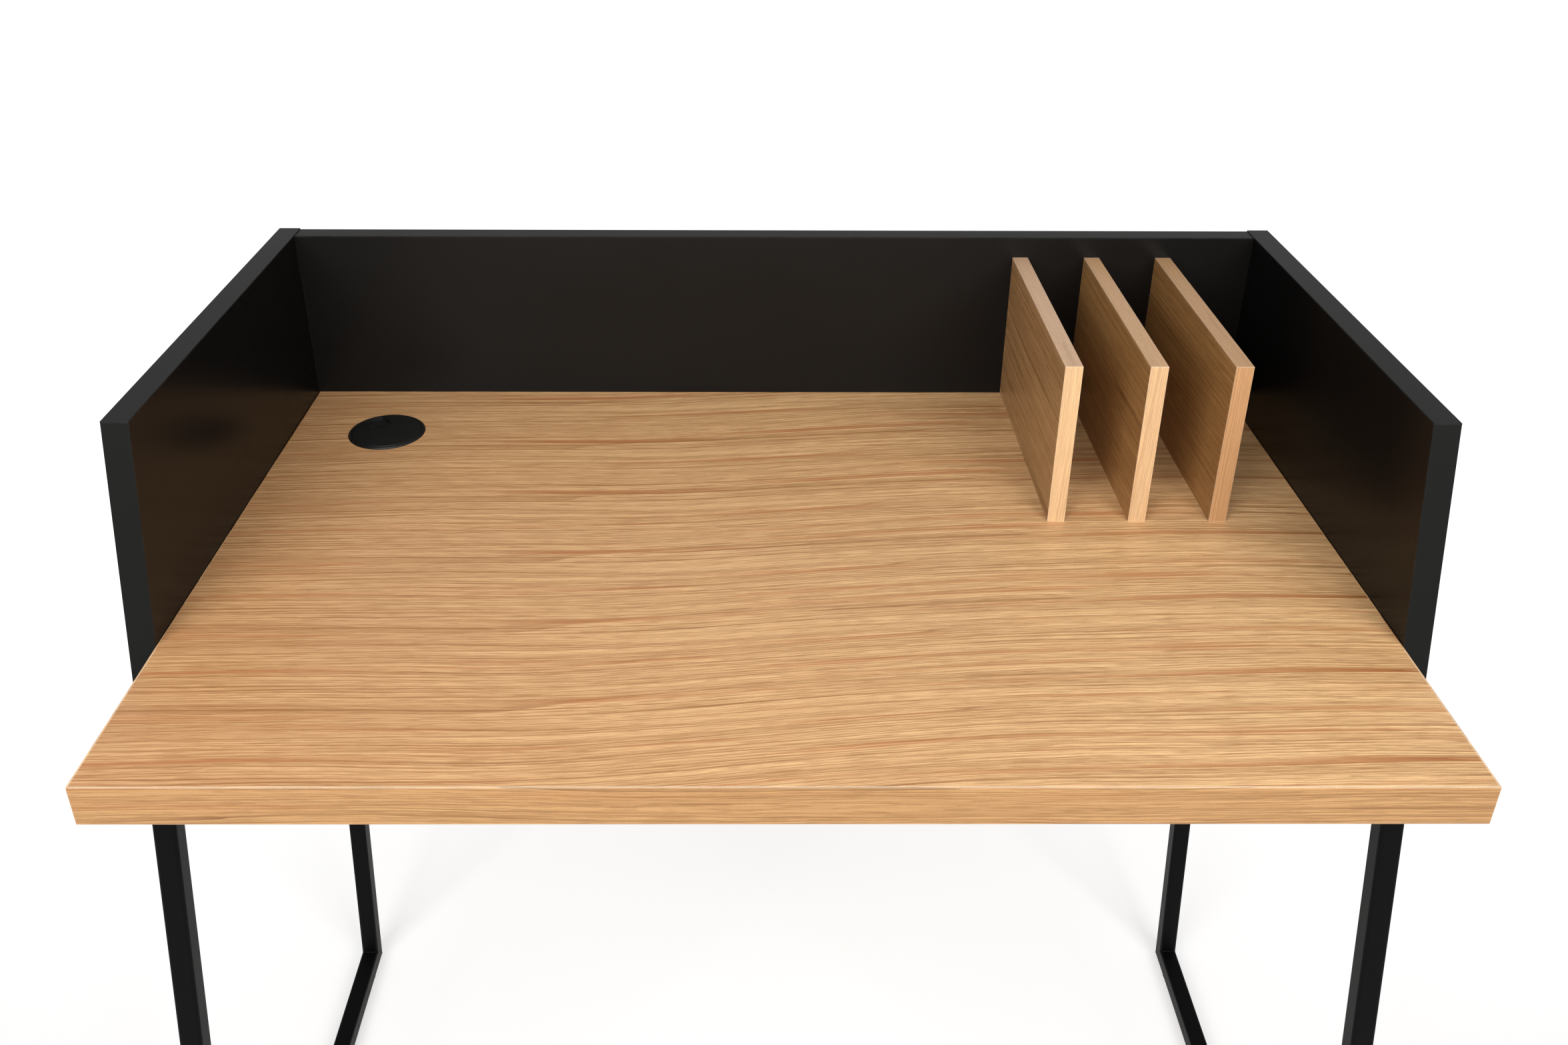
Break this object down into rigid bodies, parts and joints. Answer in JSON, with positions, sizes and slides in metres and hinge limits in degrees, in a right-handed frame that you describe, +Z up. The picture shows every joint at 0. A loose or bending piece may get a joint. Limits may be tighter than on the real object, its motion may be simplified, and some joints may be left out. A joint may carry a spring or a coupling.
{
  "type": "desk with hutch",
  "caption": "Writing desk with a low black hutch surround, upright oak dividers, a turning cable grommet and slanted sled legs.",
  "frame": {"origin": "on the floor, under the middle of the whole desk's box", "axes": "+X to the sitter's right along the worktop, +Y from the sitter towards the back panel, +Z up"},
  "size_m": [1.044, 0.671, 0.94],
  "materials": {
    "oak_veneer": "satin lacquer",
    "oak_edging": "satin lacquer",
    "black_melamine": "fine matt melamine",
    "black_edging": "matt ABS edging",
    "black_powder_coat": "satin powder coat on steel tube",
    "black_plastic": "moulded ABS",
    "black_nylon": "moulded nylon",
    "beech": "bare fluted beech",
    "zinc_alloy": "die cast",
    "black_steel": "black oxide",
    "zinc_steel": "zinc plated"
  },
  "bodies": {
    "desk": {"back_panel": "black_melamine", "back_panel_cam_bolts": "zinc_steel", "back_panel_cam_caps": "black_plastic", "back_panel_cams": "zinc_alloy", "back_panel_dowels": "beech", "back_panel_screw_caps": "black_plastic", "back_panel_screws": "zinc_steel", "back_panel_top_band": "black_edging", "cross_rail_end_plates": "black_powder_coat", "divider_1": "oak_veneer", "divider_1_front_band": "oak_edging", "divider_1_top_band": "oak_edging", "divider_2": "oak_veneer", "divider_2_front_band": "oak_edging", "divider_2_top_band": "oak_edging", "divider_3": "oak_veneer", "divider_3_front_band": "oak_edging", "divider_3_top_band": "oak_edging", "divider_dowels": "beech", "divider_screws": "zinc_steel", "front_cross_rail": "black_powder_coat", "grommet_liner": "black_plastic", "left_back_leg": "black_powder_coat", "left_front_glide": "black_nylon", "left_front_leg": "black_powder_coat", "left_panel_front_band": "black_edging", "left_panel_rear_band": "black_edging", "left_panel_top_band": "black_edging", "left_rear_glide": "black_nylon", "left_runner": "black_powder_coat", "left_side_panel": "black_melamine", "left_top_rail": "black_powder_coat", "rail_bolts": "black_steel", "rear_cross_rail": "black_powder_coat", "right_back_leg": "black_powder_coat", "right_front_glide": "black_nylon", "right_front_leg": "black_powder_coat", "right_panel_front_band": "black_edging", "right_panel_rear_band": "black_edging", "right_panel_top_band": "black_edging", "right_rear_glide": "black_nylon", "right_runner": "black_powder_coat", "right_side_panel": "black_melamine", "right_top_rail": "black_powder_coat", "rivet_nuts": "zinc_steel", "side_panel_screws": "zinc_steel", "worktop": "oak_veneer", "worktop_cam_bolts": "zinc_steel", "worktop_cams": "zinc_alloy", "worktop_dowels": "beech", "worktop_front_band": "oak_edging", "worktop_left_band": "oak_edging", "worktop_right_band": "oak_edging", "worktop_screws": "zinc_steel"},
    "cap": {"grommet_cap": "black_plastic", "shutter_retainer": "black_plastic"},
    "shutter": {"grommet_shutter": "black_plastic"}
  },
  "joints": [
    {"name": "cap_turn", "type": "hinge", "parent": "desk", "child": "cap", "pos_m": [-0.403, 0.215, 0.76], "axis": [0, 0, 1], "continuous": true},
    {"name": "shutter_turn", "type": "hinge", "parent": "cap", "child": "shutter", "pos_m": [-0.403, 0.215, 0.76], "axis": [0, 0, 1], "range_deg": [0, 80]}
  ]
}
